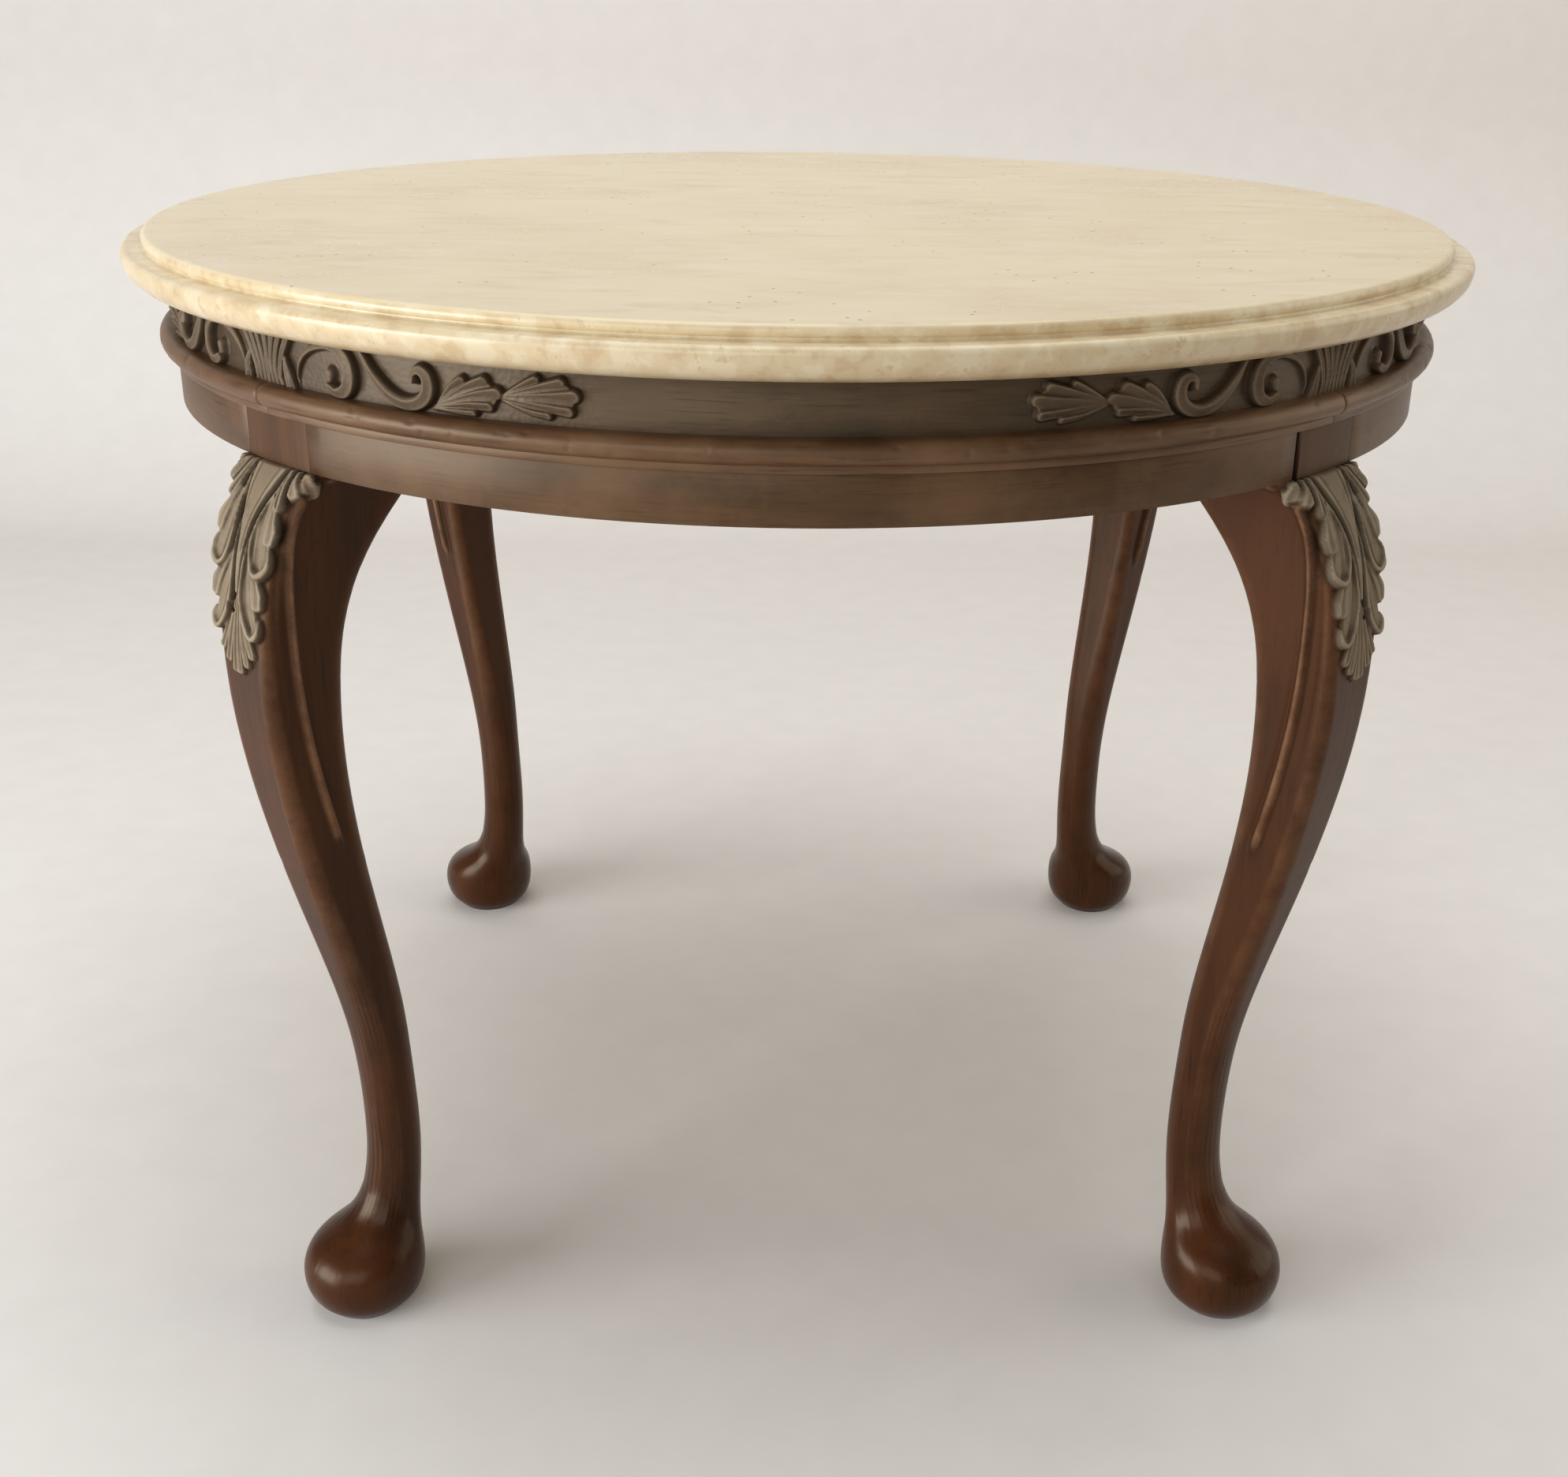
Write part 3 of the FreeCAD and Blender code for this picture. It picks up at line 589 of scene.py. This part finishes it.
def carved_frieze():
    """The four frieze quarters, each with half an ornament at both ends."""
    low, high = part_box("frieze_right")
    radius, bottom, top = high.x, low.z, high.z
    back = low.x / math.cos(HALF_SIDE)
    bead_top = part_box("bead_right")[1].z
    plain_end = HALF_SIDE - ORNAMENT
    carved = np.linspace(plain_end, HALF_SIDE, ORNAMENT_COLUMNS)
    plain = np.linspace(-plain_end, plain_end, PLAIN_COLUMNS)[1:-1]
    columns = np.concatenate([-carved[::-1], plain, carved])
    rows = np.linspace(bead_top, top, FRIEZE_ROWS)
    from_leg = (HALF_SIDE - np.abs(columns)) * radius / MM
    relief = Relief(*np.meshgrid(from_leg, rows / MM, indexing="ij"))
    frieze_leaf(relief)
    frieze_scrolls(relief)
    frieze_husks(relief)
    ground = np.where(relief.height < 0.05, 1.0, 0.0)
    tool_marks = soften(rng.normal(0, 0.5, relief.height.shape), 5)
    height = soften(relief.height, 1) + tool_marks * (0.3 - 0.1 * ground)
    # The cavity mark paints dirt and shade into the frieze's hollows and onto its steep walls
    cavity, ridge = carving_marks(height)
    ridge *= smooth_step(height / 1.5)
    front, behind = np.full((len(columns), 1), radius), np.full((len(columns), 2), back)
    loop = np.concatenate([front, radius + height * MM, behind], 1)
    level = np.broadcast_to(np.concatenate([[bottom], rows, [top, bottom]]), loop.shape)
    rings = bent(loop, columns, level)
    cavity = np.pad(cavity, ((0, 0), (1, 2)))
    ridge = np.pad(ridge, ((0, 0), (1, 2)))
    for name, turn in SIDES.items():
        piece = skin(f"carved_frieze_{name}", turn_z(rings, turn), frieze_wood, cavity=cavity, ridge=ridge)
        stand_for(piece, f"frieze_{name}", "frame")


# Bead

# Points round the bead and along each of its four lengths, and dents on a length
BEND_POINTS = 22
BEAD_COLUMNS = 700
BEAD_DENTS = 26

# How much of its roundness a length loses at its ends, and over what distance
END_LOSS = 0.16
END_REACH = 0.0006


def bead_dents(columns, bend, radius):
    """Depths of the small dents of use, strewn along a bead."""
    dents = np.zeros((len(columns), len(bend)))
    for _ in range(BEAD_DENTS):
        place, lean = rng.uniform(-0.95, 0.95) * HALF_SIDE, rng.uniform(-0.6, 0.9)
        length, depth = rng.uniform(0.0008, 0.003), rng.uniform(0.0002, 0.0006)
        width = rng.uniform(0.15, 0.4)
        along = (columns[:, None] - place) * radius / length
        dents += depth * np.exp(-along ** 2 - ((bend - lean) / width) ** 2)
    return dents


def worn_beads():
    """The half-round bead in four lengths, with eased ends and dents."""
    low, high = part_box("bead_right")
    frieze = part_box("frieze_right")[1].x
    half = (high.z - low.z) / 2
    centre = high.x - half
    bend = np.linspace(-math.pi / 2, math.pi / 2, BEND_POINTS)
    columns = np.linspace(-HALF_SIDE, HALF_SIDE, BEAD_COLUMNS)
    from_end = (HALF_SIDE - np.abs(columns)) * high.x
    eased = 1 - END_LOSS * np.exp(-from_end / END_REACH)
    one = np.ones((len(columns), 1))
    for name, turn in SIDES.items():
        dents = bead_dents(columns, bend, high.x)
        waves = soften(rng.normal(0, 0.0006, dents.shape), 40)
        bow = half * eased[:, None] - dents + waves
        loop = np.concatenate([frieze * one, centre + bow * np.cos(bend), frieze * one], 1)
        level = np.concatenate([low.z * one, low.z + half + bow * np.sin(bend), high.z * one], 1)
        rings = turn_z(bent(loop, columns, level), turn)
        stand_for(skin(f"worn_bead_{name}", rings, bead_wood), f"bead_{name}", "frame")


# Legs

# Half the width of a leg's post, and how far its back stands from the table's axis
POST_HALF = 0.02325
POST_BACK = 0.270

# Gaps at the bottom and top of the one post that has shrunk from its rail
SHRUNK_JOINTS = {"front_right": (0.0034, 0.0018)}

# Points in a ring of the leg, and how far they crowd toward its carved face
LEG_COLUMNS = 330
CROWDING = 0.55


def leg_rows(shoulder):
    """Heights of the leg's rings: close together at the foot and on the carved knee."""
    ankle, knee, leaf = 0.06, 0.25, 0.342
    return np.concatenate([np.arange(0.0, ankle, 0.002), np.arange(ankle, knee, 0.005),
                           np.arange(knee, leaf, 0.0025), np.arange(leaf, shoulder, 0.0005), [shoulder]])


def leg_grid(shoulder, columns):
    """Points of the plain leg along +X, found by casting rays at its CAD node, ring by ring."""
    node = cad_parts["leg_back_right"].data
    points = np.array([vertex.co for vertex in node.vertices])
    tree = BVHTree.FromPolygons(turn_z(points, -LEGS["back_right"]).tolist(),
                                [list(face.vertices) for face in node.polygons])
    inside, outside, margin = 0.1, 0.6, 0.0002
    rows = leg_rows(shoulder)
    levels = np.clip(rows, margin, shoulder - margin)
    inner = np.array([tree.ray_cast(Vector((inside, 0, z)), Vector((1, 0, 0)))[0].x for z in levels])
    outer = np.array([tree.ray_cast(Vector((outside, 0, z)), Vector((-1, 0, 0)))[0].x for z in levels])
    middle = soften(((inner + outer) / 2)[:, None], 4, axes=(0,))[:, 0]
    reach = np.empty((len(rows), len(columns)))
    for row, (z, x) in enumerate(zip(levels, middle)):
        centre = Vector((x, 0, z))
        reach[row] = [tree.ray_cast(centre, Vector((math.cos(a), math.sin(a), 0)))[3] for a in columns]
    reach = soften(np.concatenate([reach] * 3, 1), 2)[:, len(columns):2 * len(columns)]
    return np.stack([middle[:, None] + reach * np.cos(columns), reach * np.sin(columns),
                     np.broadcast_to(rows[:, None], reach.shape)], -1)


def outward(grid):
    """Unit normals of a grid of rings."""
    up = np.gradient(grid, axis=0)
    round_it = (np.roll(grid, -1, 1) - np.roll(grid, 1, 1)) / 2
    normal = np.cross(round_it, up)
    return normal / np.linalg.norm(normal, axis=2, keepdims=True)


def leaf_tip(relief):
    """Fingers at the leaf's lower end."""
    for points, half in ((((0.4, 384), (1.2, 364), (1.8, 348.8)), 2.8),
                         (((0.8, 384), (4.4, 366), (7.4, 352.6)), 2.8),
                         (((1.4, 384), (7.4, 368), (12.0, 357.6)), 2.8)):
        finger(relief, points, half, 2.8, gouged(0.1, 0.35, 0.2))


def leaf_lobes(relief):
    """The lower and the upper lobe, each a leaflet, a hollow and a rolled rim."""
    relief.raise_stroke([(6.0, 402, 0.9, 2.2), (11.6, 394, 2.8, 3.0), (15.0, 387.6, 4.0, 3.6),
                         (15.8, 382.4, 3.4, 3.8)], gouged(0.2, 0.25, 0.1), LEAF_WALL)
    relief.raise_stroke([(5.0, 404, 1.0, 2.0), (6.6, 392, 3.4, 2.2), (9.6, 380, 5.2, 2.4),
                         (12.8, 371, 4.2, 2.6)], gouged(-0.3, 0.4, 0.0, 3, 0.16), LEAF_WALL)
    relief.raise_stroke([(11.6, 430, 0.6, 2.8), (6.4, 417, 0.9, 3.2), (4.5, 405, 1.2, 3.5),
                         (3.7, 393, 1.6, 3.7), (4.2, 383, 1.8, 3.9), (7.0, 374.6, 2.0, 4.1),
                         (11.2, 369.0, 2.2, 4.3), (14.4, 367.8, 2.2, 4.3), (16.4, 371.0, 1.7, 4.0),
                         (16.6, 375.4, 1.0, 3.4)], rounded(0.45), LEAF_WALL)
    relief.raise_stroke([(13.0, 428, 0.9, 2.6), (16.2, 420, 2.6, 3.4), (18.2, 413.6, 3.9, 3.9),
                         (18.4, 409.2, 3.3, 4.0)], gouged(0.2, 0.25, 0.1), LEAF_WALL)
    relief.raise_stroke([(11.4, 432, 1.0, 2.2), (11.2, 421, 3.0, 2.3), (12.6, 410, 5.0, 2.5),
                         (14.6, 400, 5.4, 2.7), (15.8, 396.4, 4.0, 2.8)],
                        gouged(-0.3, 0.4, 0.0, 3, 0.18), LEAF_WALL)
    relief.raise_stroke([(13.0, 433, 0.7, 3.0), (9.4, 420, 1.1, 3.6), (7.6, 409, 1.4, 4.0),
                         (8.8, 401, 1.7, 4.3), (12.0, 395.6, 2.1, 4.6), (16.2, 394.4, 2.4, 4.7),
                         (19.4, 397.6, 2.0, 4.5), (20.0, 402.8, 1.5, 4.0), (18.8, 407.2, 0.9, 3.4)],
                        rounded(0.45), LEAF_WALL)


def leaf_stem(relief):
    """The stem between the lobes, with a fine vein and a deep groove along its edge."""
    relief.raise_stroke([(0, 440, 12.6, 3.4), (0, 431, 9.6, 3.4), (0, 421, 5.8, 3.5), (0, 411, 3.4, 3.5),
                         (0, 399, 2.4, 3.4), (0, 385, 1.7, 2.8)], rounded(0.12), LEAF_WALL)
    relief.sink_stroke([(7.6, 437, 0.7, 0.7), (4.8, 425, 0.7, 0.9), (2.0, 413, 0.6, 0.8),
                        (0.9, 402, 0.5, 0.6)])
    relief.sink_stroke([(13.2, 437, 0.8, 1.6), (8.8, 425.4, 1.0, 2.2), (5.0, 414, 1.0, 2.2),
                        (3.2, 402, 0.9, 2.0), (2.6, 390, 0.8, 1.8), (3.0, 381, 0.6, 1.2)])


def leaf_top(relief):
    """Fingers under the band and a knob at the leg's corner."""
    for points, half in ((((22.4, 440), (24.6, 433.6), (27.4, 428.4)), 2.5),
                         (((18.2, 440), (20.4, 432.4), (23.6, 425.6)), 2.7),
                         (((14.2, 440), (15.4, 430), (18.6, 420.4)), 3.0)):
        finger(relief, points, half, 4.4, gouged(-0.2, 0.45, 0.1))
    relief.raise_stroke([(28.2, 431.4, 2.8, 3.6), (29.4, 428.2, 3.2, 4.0)], rounded(0.5), wall=1.8)


def leaf_eyes(relief):
    """Drilled holes where the lobes part."""
    for across, up in ((12.8, 427.0), (6.1, 405.6), (4.2, 377.4)):
        relief.sink_stroke([(across + 0.3, up + 2.0, 0.7, 2.0), (across - 0.2, up - 1.2, 1.2, 3.0)])


def knee_leaf(relief):
    """Half of the leaf on the knee, from the middle of the leg's face out, lowest layer first."""
    leaf_tip(relief)
    leaf_lobes(relief)
    leaf_stem(relief)
    leaf_top(relief)
    leaf_eyes(relief)


def side_rib(relief):
    """The thin rib on the leg's side between two grooves, and the hollow in front of it."""
    relief.sink_stroke([(22, 424, 2.2, 0.3), (24, 405, 4.0, 1.0), (25.4, 370, 4.6, 1.3), (26, 330, 4.4, 1.2),
                        (26.6, 282, 3.0, 0.3)])
    line = np.array([(31.9, 266, 2.6, 2.6), (31.8, 276, 2.6, 2.8), (31.4, 330, 2.4, 3.0),
                     (30.2, 370, 2.2, 3.4), (28.0, 396, 2.1, 3.5), (26.4, 412, 2.1, 3.5),
                     (26.4, 424, 2.2, 3.5), (27.4, 430, 2.4, 3.5)])
    for aside in (-2.8, 2.8):
        relief.sink_stroke(line * (1, 1, 1, 0.3) + (aside, 0, 0, 0))
    relief.raise_stroke(line, rounded(0.9), FINE_WALL)
    relief.raise_stroke([(35, 433, 2.4, 2.2), (42, 433.8, 1.8, 1.4), (48, 434.2, 0.8, 0.4)], rounded(0.4))


def bend_wear(grid):
    """How sharply each ring turns at each point, 0 on flats to 1 on corners."""
    reach = 6
    normal = outward(grid)
    turn = 1 - (np.roll(normal, reach, 1) * np.roll(normal, -reach, 1)).sum(2)
    across = np.linalg.norm(np.roll(grid, reach, 1) - np.roll(grid, -reach, 1), axis=2) / MM
    sharpness = np.sqrt(2 * np.clip(turn, 0, 2)) / across
    least = 0.06
    return soften(smooth_step((sharpness - least) / least), 3)


def post_ring(columns, face, level, gap):
    """A ring of the post, flush with the band in front and shrunk back from one joint by a gap, and a mark on
    its points inside the gap, which paints them dark as shade and dirt."""
    tiny = 1e-6
    centre = (POST_BACK + face) / 2
    cosine, sine = np.cos(columns), np.sin(columns)
    side = np.where(sine < 0, POST_HALF - gap, POST_HALF) / np.maximum(np.abs(sine), tiny)
    behind = np.where(cosine < 0, (centre - POST_BACK) / np.maximum(-cosine, tiny), np.inf)
    before = -centre * cosine + np.sqrt(face ** 2 - (centre * sine) ** 2)
    reach = np.minimum(np.minimum(side, behind), before)
    ring = np.stack([centre + reach * cosine, reach * sine, np.full_like(reach, level)], -1)
    return ring, np.where((sine < 0) & (reach == side), float(gap > 0), 0.0)


def carved_surface(grid):
    """The leg's points with their carving, and the marks for its material."""
    up = grid[:, :, 2]
    steps = np.linalg.norm(np.diff(grid, axis=1), axis=2)
    length = np.concatenate([np.zeros((len(grid), 1)), np.cumsum(steps, 1)], 1)
    middle = LEG_COLUMNS // 2
    from_middle = np.abs(length - length[:, middle:middle + 1]) / MM
    rib = Relief(from_middle, up / MM)
    side_rib(rib)
    rib.height = soften(rib.height, 3)
    leaf = Relief(from_middle, up / MM)
    knee_leaf(leaf)
    on_leaf = smooth_step(leaf.height / 1.5)
    height = np.where(leaf.height > 0.05, leaf.height, rib.height + np.minimum(leaf.height, 0))
    tool_marks = soften(rng.normal(0, 0.3, height.shape), 8)
    height = soften(height, 1) + tool_marks * (0.2 + 0.5 * on_leaf)
    # The cavity mark paints dirt and shade into the leaf's hollows and onto its steep walls
    cavity, ridge = carving_marks(height)
    # Corners wear with their bend; the rib's pale mark is partly rubbing and partly a painted highlight
    wear_and_rib_highlight = np.maximum(0.45 * bend_wear(grid), 1.3 * smooth_step(rib.height - 0.3)) * (1 - on_leaf)
    plain_foot = 0.004
    fade = smooth_step(up / plain_foot)
    carved = grid + outward(grid) * (height * fade)[:, :, None] * MM
    carved[:, :, 2] = np.clip(carved[:, :, 2], 0, up[-1, 0])
    return carved, {"cavity": cavity, "ridge": (0.55 + 0.45 * ridge) * on_leaf, "wear_and_rib_highlight": wear_and_rib_highlight}


def carved_legs():
    """The four legs with their carved knees, feet and posts."""
    low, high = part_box("rail_right")
    shoulder, band_top, face = low.z, high.z, high.x
    turn = np.linspace(-math.pi, math.pi, LEG_COLUMNS, endpoint=False)
    columns = turn - CROWDING * np.sin(turn)
    carved, marks = carved_surface(leg_grid(shoulder, columns))
    marks = {label: np.pad(values, ((0, 2), (0, 0))) for label, values in marks.items()}
    for name, degrees in LEGS.items():
        gaps = SHRUNK_JOINTS.get(name, (0, 0))
        post = [post_ring(columns, face, z, gap) for z, gap in zip((shoulder, band_top), gaps)]
        # The post's points in the gap take the cavity mark: painted dark as shade and dirt
        marks["cavity"][-2:] = [in_gap for _, in_gap in post]
        rings = np.concatenate([carved, [ring for ring, _ in post]])
        piece = skin(f"carved_leg_{name}", turn_z(rings, degrees), red_brown, **marks)
        stand_for(piece, f"leg_{name}", "frame")


# Other pieces


def dress_cad_nodes():
    """Materials and eased edges on the CAD nodes that stay."""
    finishes = {"rail": band_wood, "fillet": bead_wood, "corner_block": block_wood,
                "frieze_dowels": dowel_wood, "block_screws": steel, "top_pads": felt}
    for name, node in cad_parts.items():
        for start, material in finishes.items():
            if not name.startswith(start):
                continue
            node.data.materials.clear()
            node.data.materials.append(material)
            weld = node.modifiers.new("weld", "WELD")
            weld.merge_threshold = 0.00001
            bevel = node.modifiers.new("eased_edges", "BEVEL")
            bevel.width = 0.0004
            bevel.segments = 2
            bevel.limit_method = "ANGLE"
            bevel.angle_limit = PLAIN_EDGE
            node.data.shade_smooth()
            node.data.set_sharp_from_angle(angle=PLAIN_EDGE)


# Stage, light and camera

WHITE = (1.0, 1.0, 1.0)
WARM = (1.0, 0.91, 0.78)

# Place, width, height, power in watts and colour of each lamp
LAMPS = {"window": ((-2.0, -1.0, 0.55), 1.5, 1.0, 39, WHITE),
         "ceiling": ((0.0, 0.3, 2.6), 2.2, 2.2, 33, WHITE),
         "fill": ((-0.8, -2.4, 1.1), 1.8, 1.4, 16, WHITE),
         "side": ((2.4, 0.0, 1.0), 2.0, 1.7, 15, WARM)}
LAMP_TARGET = Vector((0, 0, 0.4))


def studio_paint():
    """Paint that is pale where it is seen or mirrored, and darker in the light that it throws back."""
    paint = Nodes("studio_paint")
    speckle = paint.noise(paint.place(), 30.0)
    pale = paint.ramp(speckle, (0.3, (0.85, 0.835, 0.81)), (0.7, (0.88, 0.865, 0.84)))
    path = paint.add("LightPath").outputs
    seen = paint.math("MAXIMUM", path["Is Camera Ray"], path["Is Glossy Ray"])
    seen = paint.math("MAXIMUM", seen, path["Is Transmission Ray"])
    colour = paint.mix(seen, (0.40, 0.32, 0.25), pale)
    return paint.finish(colour, 0.9, paint.bump(speckle, 0.02, 0.001))


def studio_floor():
    """A floor that curves up into a backdrop."""
    near, far, half_width, bend, top = -4.0, 1.1, 5.0, 0.5, 3.5
    curve = [(near, 0.0), (far, 0.0)]
    for angle in np.linspace(0.1, math.pi / 2, 16):
        curve.append((far + bend * math.sin(angle), bend - bend * math.cos(angle)))
    curve.append((far + bend, top))
    points = [(x, y, z) for x in (-half_width, half_width) for y, z in curve]
    faces = [(i, i + 1, len(curve) + i + 1, len(curve) + i) for i in range(len(curve) - 1)]
    mesh = bpy.data.meshes.new("studio_floor")
    mesh.from_pydata(points, [], faces)
    mesh.shade_smooth()
    mesh.materials.append(studio_paint())
    floor = bpy.data.objects.new("studio_floor", mesh)
    bpy.context.scene.collection.objects.link(floor)


def soft_light():
    """A dim even room and four soft lamps, the strongest from the left."""
    world = bpy.data.worlds.new("soft_room")
    world.use_nodes = True
    room = world.node_tree.nodes["Background"]
    room.inputs["Color"].default_value = (1.0, 0.985, 0.96, 1)
    room.inputs["Strength"].default_value = 0.22
    bpy.context.scene.world = world
    for name, (place, width, height, power, colour) in LAMPS.items():
        data = bpy.data.lights.new(name, "AREA")
        data.shape = "RECTANGLE"
        data.size = width
        data.size_y = height
        data.energy = power
        data.color = colour
        lamp = bpy.data.objects.new(name, data)
        lamp.location = place
        lamp.rotation_euler = (LAMP_TARGET - Vector(place)).to_track_quat("-Z", "Y").to_euler()
        bpy.context.scene.collection.objects.link(lamp)


def photo_camera():
    """The camera that took the picture, worked out from the table's rings and feet."""
    width, height = 1988, 1872
    focal, centre_x, centre_y = 2358.3, 1025.2, 938.2
    pitch, yaw, roll = 0.3973, 0.0188, 0.0126
    place = Matrix.Translation((-0.0106, -0.9965, 0.6356))
    data = bpy.data.cameras.new("photo_camera")
    data.sensor_fit = "HORIZONTAL"
    data.sensor_width = 36
    data.lens = focal / width * data.sensor_width
    data.shift_x = (width / 2 - centre_x) / width
    data.shift_y = (centre_y - height / 2) / width
    data.clip_start = 0.01
    camera = bpy.data.objects.new("photo_camera", data)
    tilt = Matrix.Rotation(math.pi / 2 - pitch, 4, "X")
    camera.matrix_world = place @ Matrix.Rotation(-yaw, 4, "Z") @ tilt @ Matrix.Rotation(roll, 4, "Z")
    bpy.context.scene.collection.objects.link(camera)
    bpy.context.scene.camera = camera


stone_slab()
carved_frieze()
worn_beads()
carved_legs()
dress_cad_nodes()
studio_floor()
soft_light()
photo_camera()
bpy.context.scene.view_settings.view_transform = "Standard"
